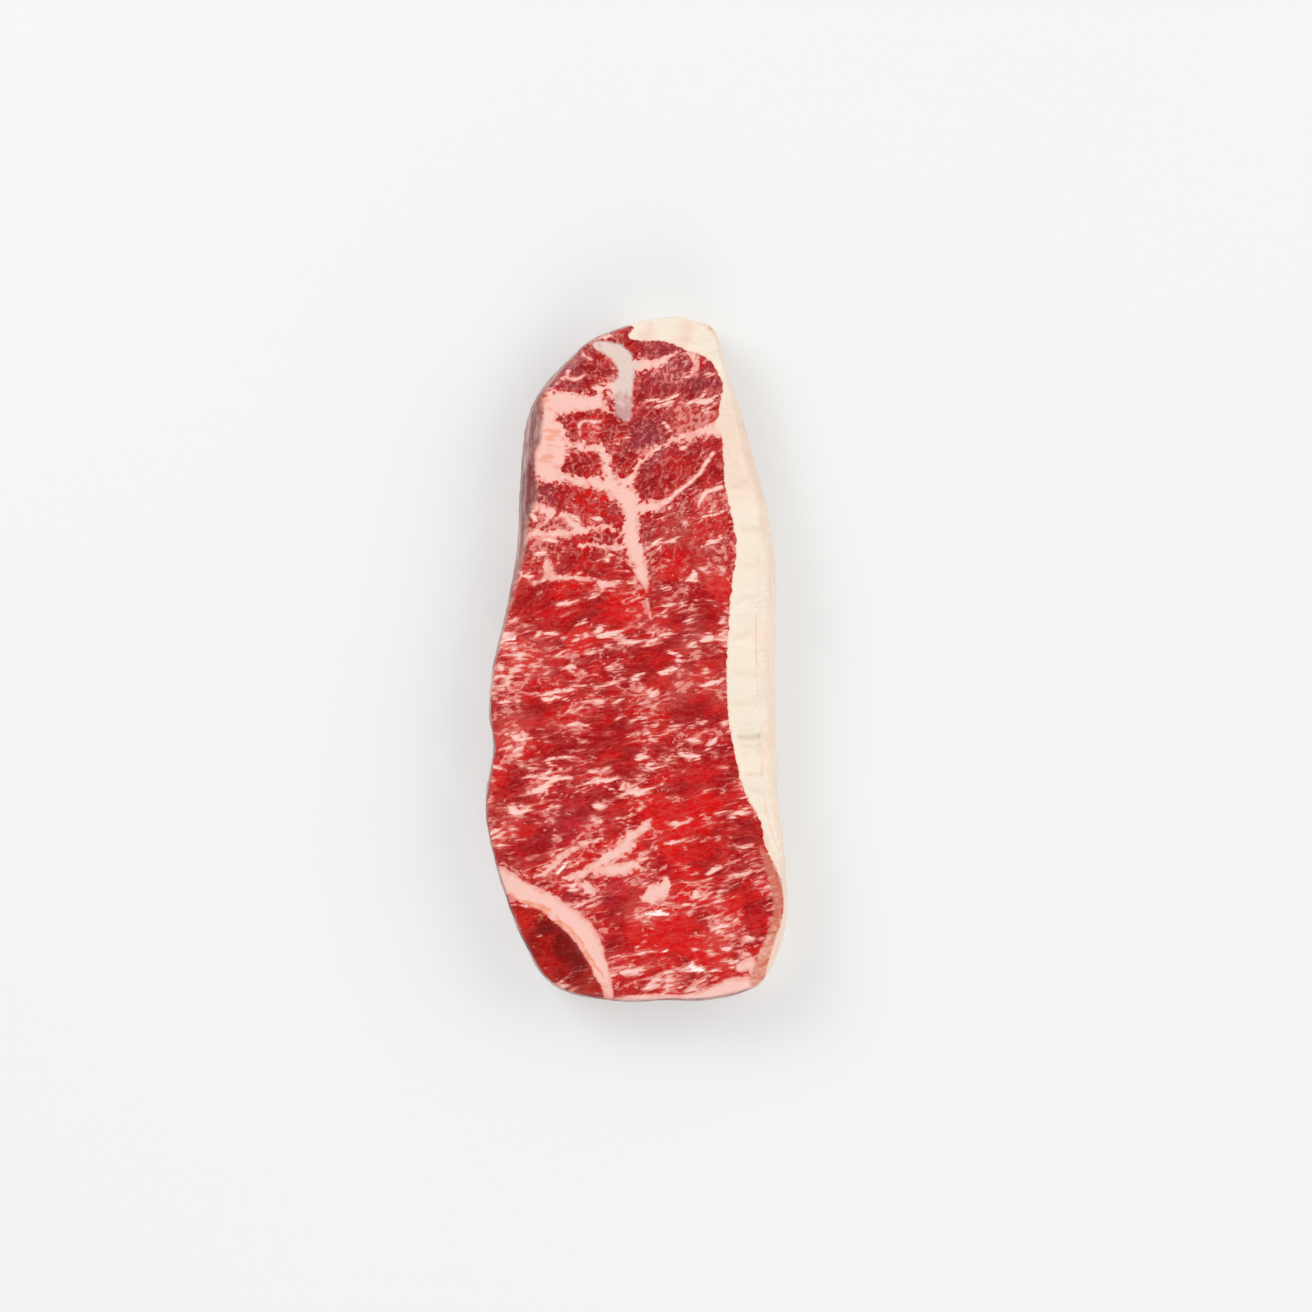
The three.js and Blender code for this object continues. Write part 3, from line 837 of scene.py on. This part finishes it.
# Each swell is its height, its coordinates, the size of its lumps, its seed, and where it is.
SWELLS = [
    (0.22, grain, (4.5, 2.6, 6), 1, lean_share),
    (0.12, grain, (1.9, 1.3, 3), 2, lean_share),
    (0.18, place, (9, 9, 9), 3, 1),
    (0.55, place, (7, 4.5, 6), 6, cap_top),
    (0.45, place, (14, 14, 3.2), 4, lean_side),
    (0.4, place, (11, 13, 5), 5, outer_side),
    (0.25, place, (5, 4, 12), 8, outer_side),
]
lift = 0.12 * step(streak_depth, -0.6, 0.4) * lean_share
for height, at, sizes, seed, share in SWELLS:
    lift += height * lumps(at, sizes, seed) * share

crease_wander = 1.3 * lumps(place, (6, 6, 6), 7)
crease_depth = np.zeros(count)
for crease_y, depth, half in CREASES:
    gap = place[:, 1] - crease_y - CREASE_LEAN * (place[:, 0] - CAP_MIDDLE) + crease_wander
    crease_depth = np.maximum(crease_depth, depth * np.exp(-((gap / half) ** 2)))
crease_depth *= cap_top * step(crest_depth, -1, 0.5)
lift -= crease_depth
# The crease depths are also kept, so that the finish can paint shade into the creases.
keep("crease_shade_share", np.clip(crease_depth, 0, 1))
lift -= 0.5 * np.abs(lumps(place, (11, 3.4, 8), 9)) * cap_top
ridge_gap = in_band(smooth_line(RIDGE))
lift += RIDGE_HEIGHT * np.exp(-((ridge_gap / 0.9) ** 2)) * step(cap_depth, 0.5, 2.5)
groove = np.exp(-((crest_depth / 0.7) ** 2)) * step(30 - place[:, 1], -8, 8)
lift -= 0.3 * groove * cap_top
upper = step(place[:, 2], 1.5, 4)
moved = place + facing * (lift * upper)[:, None]
moved[:, 2] = np.maximum(moved[:, 2], 0)
steak.data.vertices.foreach_set("co", (moved * MM).ravel())
steak.data.update()
print("relief from", round(lift.min(), 2), "to", round(lift.max(), 2), "mm")

# %% [markdown]
# One finish covers the steak, because its tissues run into each other without an edge.
# It grows the fine marbling from noise in the muscle's own coordinates: a net of cell walls,
# which gives the forks, bent contour lines, which give the long wisps, finer ones for the hairs,
# and a web of thin fat. Three rounds of bending, coarse to fine, keep all of it from looking ruled.
# Every kind of fat is again a depth, so the colours can change with the distance to its edge.

# %% The fine marbling
# Sizes in mm, along the streaks, across them and through the thickness.
BROAD_BENDS = (22, 16, 30)
SHORT_BENDS = (5, 2.4, 9)
SMALL_TEARS = (1.3, 0.7, 3)
NET_CELLS = (9, 3.3, 22)
WISP_LUMPS = (9.5, 2.7, 20)
HAIR_LUMPS = (5, 1.9, 10)
WEB_LUMPS = (2.7, 1.6, 6)

finish, shader, shade = new_finish("raw_beef")
tree = finish.node_tree


def stored(name, output="Fac"):
    return shade.node("Attribute", {"attribute_name": name}, output=output)


def cell_gap(at, sizes):
    """The distance to the wall between cells of the given sizes, 0 on the wall itself."""
    values = {"Vector": at.scaled(sizes), "Scale": 1.0, "Randomness": 1.0}
    return shade.node("TexVoronoi", {"feature": "DISTANCE_TO_EDGE"}, values)


metres = shade.node("TexCoord", output="Object")
here = metres.scaled((MM, MM, MM))
muscle = stored("grain", "Vector")
head = stored("head_share")

curved = muscle.bent(BROAD_BENDS, (7, 5, 4))
ragged = curved.bent(SHORT_BENDS, (3.2, 1.5, 2), 3)
torn = ragged.bent(SMALL_TEARS, (0.8, 0.45, 0.6), 2)

feather = torn.noise((5.5, 0.8, 9), 3, 0.6) - 0.5
calm = (stored("calm_near") + (muscle.noise((7, 4, 12), 2, 0.6) - 0.5) * 1.2).between(0.15, 0.95)
calm = calm - stored("rich_near") * 0.65

net_gap = cell_gap(torn, NET_CELLS) * NET_CELLS[1]
net_width = torn.noise((8, 4, 22), 2, 0.6) * 5.5 - 3.0 - calm * 0.7 - head * 0.25
net_depth = net_width.under(0.55) - net_gap + feather * 1.6

contour = torn.noise(WISP_LUMPS, 1.5, 0.45) - 0.5
contour_gap = contour.size() * 6.5
contour_width = muscle.noise((8, 6, 16), 2, 0.6) * 3.4 - 1.92 - calm * 0.55 - head * 0.2
contour_depth = contour_width.under(0.45) - contour_gap + feather * 1.4

hair_contour = torn.noise(HAIR_LUMPS, 2, 0.5) - 0.5
hair_gap = hair_contour.size() * 5.5
hair_width = muscle.noise((9, 6, 12), 2, 0.6) * 3.4 - 1.85 - calm * 0.4 - head * 0.2
hair_depth = hair_width.under(0.3) - hair_gap

web_noise = torn.noise(WEB_LUMPS, 3, 0.6)
by_seam = stored("seam_depth").between(-6, 0)
web_patch = curved.noise((10, 7, 14), 2, 0.6)
web_level = head * 0.03 + by_seam * 0.06 + web_patch * 0.5 + 0.085 - calm * 0.09
web_level = web_level + stored("hazy_near") * head * 0.11
web_depth = (web_level - web_noise) * 4.5
print("the marbling takes", len(tree.nodes), "nodes")

# %% [markdown]
# The drawn shapes get the same torn edges: a little noise is added to each depth.
# Seams are lobed near the head and smooth towards the tail, and streaks are more ragged.
# Lean is a pack of knobbly lobules, and where they meet a seam they push into it like knobs.

# %% Torn edges for the drawn shapes
LOBULE_SIZES = (3.6, 2.3, 5)
KNOB_REACH = 3.4
tear = torn.noise((2.6, 1.5, 5), 3, 0.62) - 0.5
lobed = here.noise((3.2, 3.2, 8), 2, 0.6) - 0.5
lobule_gap = cell_gap(torn, LOBULE_SIZES)
knobs = (0.16 - lobule_gap) * KNOB_REACH
torn_near = stored("torn_share")
seam = stored("seam_depth") + (tear * 2.8 + lobed * 3.2) * (torn_near * 0.55 + 0.45)
seam = seam + knobs * torn_near
gristle = stored("gristle_depth") + tear * 1.6 + lobed * 2.0
streak = stored("streak_depth") + tear * 2.2 + feather * 3.4
line = stored("line_depth") + tear * 1.5 + lobed * 0.8
cap = stored("cap_depth") + tear * 1.4 + lobed * 1.2
silver = stored("silver_depth") + tear * 1.6
end = stored("end_depth") + tear * 1.5
skin = stored("lean_side")
in_end = end.between(-0.4, 0.6)

marble = net_depth.over(contour_depth).over(streak).over(line) - in_end * 0.3
fat = marble.over(seam)
fine_fat = hair_depth.over(web_depth) - in_end * 0.15
print("with the torn edges there are", len(tree.nodes), "nodes")

# %% [markdown]
# Lean isn't one red. It is mottled from deep to bright, purple where the air hasn't reached it,
# finely speckled by the cut fibres, and paler where thin fat shines through from below.
# Near the head its lobules carry painted shade at their edges and painted light in their middles.

# %% Colours of the lean
DEEP_RED = colour(160, 9, 15)
FRESH_RED = colour(202, 13, 17)
BRIGHT_RED = colour(222, 12, 10)
DARK_RED = colour(122, 5, 9)
PURPLE_RED = colour(142, 52, 68)
END_BROWN = colour(92, 8, 8)
VEILED_RED = colour(208, 84, 76)
FINE_FAT = colour(232, 148, 136)
RIM_PINK = colour(224, 122, 112)

mottle = curved.noise((13, 7, 20), 3, 0.6).between(0.38, 0.62)
lean = mottle.mixed(DEEP_RED, FRESH_RED)
shadows = torn.noise((5, 2.2, 9), 3, 0.65).between(0.48, 0.66)
lean = (shadows * 0.5).mixed(lean, DARK_RED)
cloud = here.noise((9, 6, 14), 3, 0.6) - 0.5
airless = (stored("purple_near") + cloud * 1.6).between(0.22, 0.82)
lean = (airless * (head * 0.62 + 0.22)).mixed(lean, PURPLE_RED)
aired = (stored("bright_near") + cloud * 1.6).between(0.3, 0.8)
lean = (aired * 0.8).mixed(lean, BRIGHT_RED)
haze = (stored("hazy_near") + cloud * 1.8).between(0.2, 1.1)
drift = ragged.noise((8, 3, 12), 3, 0.65).between(0.5, 0.7)
lean = (haze * 0.45 + drift * 0.26).under(0.65).mixed(lean, VEILED_RED)
# Painted shade and light: in the head each lobule is darkened towards its edge and brightened in
# its middle, as if it bulged.
lean = (lobule_gap.between(0.3, 0.06) * head * 0.42).mixed(lean, DARK_RED)
lean = (lobule_gap.between(0.3, 0.5) * head * 0.3).mixed(lean, BRIGHT_RED)
lobule_patch = torn.noise((2.8, 2, 5), 3, 0.65).between(0.44, 0.6)
between_lobules = lobule_gap.between(0.2, 0.02) * lobule_patch
lean = (between_lobules * (head * 0.62 + 0.08)).mixed(lean, RIM_PINK)
fibres = torn.noise((1.5, 0.5, 2.5), 2, 0.65)
lean = (fibres.between(0.52, 0.66) * 0.26).mixed(lean, VEILED_RED)
lean = (fibres.between(0.48, 0.34) * 0.4).mixed(lean, DARK_RED)
veil = fat.between(-0.9, 0.1) * 0.5
lean = veil.mixed(lean, VEILED_RED)
lean = (fine_fat.between(-0.14, 0.12) * 0.75).mixed(lean, FINE_FAT)
dark_end = lean.tinted(colour(226, 200, 170))
lean = in_end.mixed(lean, dark_end)
browned = (stored("dark_near") + cloud * 1.5).between(0.25, 0.8) * in_end
lean = (browned * 0.66).mixed(lean, END_BROWN)
print("with the lean there are", len(tree.nodes), "nodes")

# %% [markdown]
# Marbling and seams are pink fat, darker at their edges, where red lean shines through.
# Gristle is a cool grey-white, and turns mauve where it thins out towards its lower end.

# %% Colours of the marbling, the seams and the gristle
SEAM_PINK = colour(236, 158, 144)
SEAM_PALE = colour(243, 193, 181)
MARBLE_PINK = colour(230, 140, 128)
MARBLE_PALE = colour(246, 200, 188)
# The near-white below is a painted highlight for the glints on wet marbling.
PAINTED_GLINT_WHITE = colour(252, 238, 232)
GRISTLE_PALE = colour(226, 202, 191)
GRISTLE_MAUVE = colour(202, 152, 149)

fat_cloud = here.noise((4, 4, 6), 3, 0.6)
marble_colour = fat.between(0.0, 0.7).mixed(MARBLE_PINK, MARBLE_PALE)
# Painted highlight: near these spots the marbling is painted near-white, standing in for wet
# glints.
white = (stored("painted_glint_near") + cloud).between(0.3, 0.8) * fat.between(0.1, 0.5)
marble_colour = (white * 0.8).mixed(marble_colour, PAINTED_GLINT_WHITE)
seam_inner = (seam + (fat_cloud - 0.5) * 4.5).between(-0.2, 1.7)
seam_colour = seam_inner.mixed(SEAM_PINK, SEAM_PALE)
fat_colour = seam.between(-0.1, 0.6).mixed(marble_colour, seam_colour)
meat = fat.between(head * 0.14 - 0.32, 0.32).mixed(lean, fat_colour)
northing = here.node("SeparateXYZ", None, {0: here}, "Y")
gristle_cloud = here.noise((5, 5, 9), 3, 0.6) + northing.between(89, 79) * 0.38 - 0.18
gristle_cloud = gristle_cloud.between(0.36, 0.62)
gristle_colour = gristle_cloud.mixed(GRISTLE_PALE, GRISTLE_MAUVE)
meat = gristle.between(-0.6, 0.8).mixed(meat, gristle_colour)
print("with seams and gristle there are", len(tree.nodes), "nodes")

# %% [markdown]
# The cap is cream fat with a pink blush. It is pinker along the lean, outside its crest and
# near the head, and its outer face shows soft layers that alternate between pink and butter.
# Its creases are darkened to brown with painted shade.

# %% Colours of the fat cap
CAP_CREAM = colour(240, 227, 208)
CAP_PEACH = colour(243, 226, 206)
CAP_BAND = colour(243, 216, 196)
CAP_TAIL = colour(240, 190, 168)
CAP_PINK = colour(236, 178, 158)
CAP_BUTTER = colour(234, 210, 174)
# The brown below is painted shade for the creases of the cap.
CREASE_SHADE_BROWN = colour(214, 180, 146)

cap_cloud = here.noise((9, 12, 9), 3, 0.55).between(0.35, 0.65)
cap_colour = cap_cloud.mixed(CAP_CREAM, CAP_PEACH)
blush = here.noise((12, 22, 12), 2, 0.5).between(0.56, 0.72) * 0.4
cap_colour = blush.mixed(cap_colour, CAP_PINK)
near_lean = 1 - cap.between(0.0, 0.8)
cap_colour = (near_lean * 0.45).mixed(cap_colour, CAP_PINK)
crest = stored("crest_depth") + lobed * 1.5
outer_band = crest.between(0.3, -1.5)
cap_colour = (outer_band * 0.4).mixed(cap_colour, CAP_BAND)
flushed = northing.between(42, 62) * northing.between(96, 74)
cap_colour = (flushed * 0.26).mixed(cap_colour, CAP_PINK)
cap_colour = (stored("cap_tail") * 0.42).mixed(cap_colour, CAP_TAIL)
layers = here.noise((10, 30, 2.4), 3, 0.65)
outer = stored("outer_side")
cap_colour = (layers.between(0.5, 0.66) * outer * 0.5).mixed(cap_colour, CAP_PINK)
cap_colour = (layers.between(0.48, 0.32) * outer * 0.5).mixed(cap_colour, CAP_BUTTER)
crest_line = (0.5 - crest.size()).between(0.0, 0.5) * cap_cloud * (1 - head)
cap_colour = (crest_line * 0.6).mixed(cap_colour, CAP_PINK)
# Painted shade: the creases of the cap are darkened to brown, on top of their relief.
cap_colour = (stored("crease_shade_share") * 0.5).mixed(cap_colour, CREASE_SHADE_BROWN)
print("with the cap there are", len(tree.nodes), "nodes")

# %% [markdown]
# The skin on the lean side is dark, with a torn pale membrane over it. The strip of silverskin
# is a brown pink. A few places in the fat are stained orange, and so is the rim of the end muscle.

# %% Colours of the skins and the stains
SILVER_BROWN = colour(203, 112, 92)
SKIN_DARK = colour(98, 36, 40)
SKIN_RED = colour(146, 72, 68)
SKIN_PALE = colour(196, 162, 152)
STAIN_ORANGE = colour(232, 140, 96)

broad_skin = here.noise((9, 24, 5), 3, 0.6).between(0.38, 0.62)
skin_colour = broad_skin.mixed(SKIN_DARK, SKIN_RED)
membrane = here.noise((3.5, 10, 2.8), 3, 0.6) + here.noise((12, 30, 9), 2, 0.5) - 0.5
skin_colour = (membrane.between(0.36, 0.72) * 0.85).mixed(skin_colour, SKIN_PALE)
meat = (skin * 0.9).mixed(meat, skin_colour)
meat = cap.between(-0.12, 0.18).mixed(meat, cap_colour)
smears = here.noise((9, 1.8, 6), 3, 0.6) - 0.5
stained = stored("stained_near")
stain = (stained * 0.9 + smears * 2.8).between(0.3, 0.95) * stained.between(0.03, 0.3)
stain = stain * fat.over(cap).between(-0.1, 0.3)
meat = (stain * 0.6).mixed(meat, STAIN_ORANGE)
end_rim = (0.8 - (end + 1.3 + lobed * 2.0).size()).between(0.0, 0.6)
end_rim = end_rim * seam.between(0.0, 0.4) * here.noise((5, 5, 9), 2, 0.6).between(0.36, 0.56)
meat = (end_rim * 0.7).mixed(meat, STAIN_ORANGE)
silver_paler = (tear * 2.0 + northing.between(-72, -94) * 0.36 + 0.12).between(0.1, 0.9)
silver_colour = silver_paler.mixed(SILVER_BROWN, CAP_PINK)
meat = (silver.between(-0.6, 0.5) * 0.9).mixed(meat, silver_colour)
print("with the skins there are", len(tree.nodes), "nodes")

# %% [markdown]
# Gloss and fine relief finish the surface. Lean shines more than fat, with small glints where
# the cut fibres stand up, and fat is smoother and a little duller. A thin clear coat is the juice.

# %% Gloss, fine relief and the shader
LEAN_ROUGHNESS = 0.34
FAT_ROUGHER = 0.1
WET_SMOOTHER = 0.1
DRY_COAT = 0.04
WET_COAT = 0.3
BUMP_STRENGTH = 0.5
SAME_ALL_OVER = {
    "Coat Roughness": 0.16,
    "Specular IOR Level": 0.22,
    "Subsurface Weight": 0.06,
    "Subsurface Radius": (1.0, 0.35, 0.25),
    "Subsurface Scale": 0.8 * MM,
}

grit = here.noise((0.55, 0.45, 1.2), 2, 0.6)
nubs = torn.noise((1.5, 0.6, 3), 2, 0.6).between(0.6, 0.72)
fat_share = fat.between(-0.3, 0.4).over(cap.between(-0.2, 0.2))
wet = here.noise((7, 7, 7), 2, 0.6).between(0.35, 0.7)
roughness = LEAN_ROUGHNESS + fat_share * FAT_ROUGHER - wet * WET_SMOOTHER
coat = wet * WET_COAT + DRY_COAT
height = grit * (0.1 - fat_share * 0.07) + fat.between(-0.6, 0.6) * 0.1
height = height + here.noise((2.6, 2, 3), 2, 0.5) * 0.22 + nubs * (1 - fat_share) * 0.12
wrinkles = (here.noise((6, 2.4, 5), 3, 0.6) - 0.5).size() * cap.between(0.2, 1.2)
wrinkled = here.noise((12, 9, 12), 2, 0.5).between(0.46, 0.64)
height = height - wrinkles * (1.3 + wrinkled * 2.4)

relief = {"Strength": BUMP_STRENGTH, "Distance": MM, "Height": height}
bump = height.node("Bump", None, relief)
tree.links.new(meat.socket, shader.inputs["Base Color"])
tree.links.new(roughness.socket, shader.inputs["Roughness"])
tree.links.new(coat.socket, shader.inputs["Coat Weight"])
tree.links.new(bump.socket, shader.inputs["Normal"])
for name, value in SAME_ALL_OVER.items():
    shader.inputs[name].default_value = value
steak.data.materials.append(finish)
print("raw_beef has", len(tree.nodes), "nodes")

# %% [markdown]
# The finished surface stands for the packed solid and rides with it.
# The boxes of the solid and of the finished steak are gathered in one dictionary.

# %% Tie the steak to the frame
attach(steak, "root")
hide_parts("steak")

visual_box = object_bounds()
sizes = {
    "cad": [list(corner) for corner in cad_box],
    "visual": [list(corner) for corner in visual_box],
}
print("finished steak from", tuple(visual_box[0]), "to", tuple(visual_box[1]))
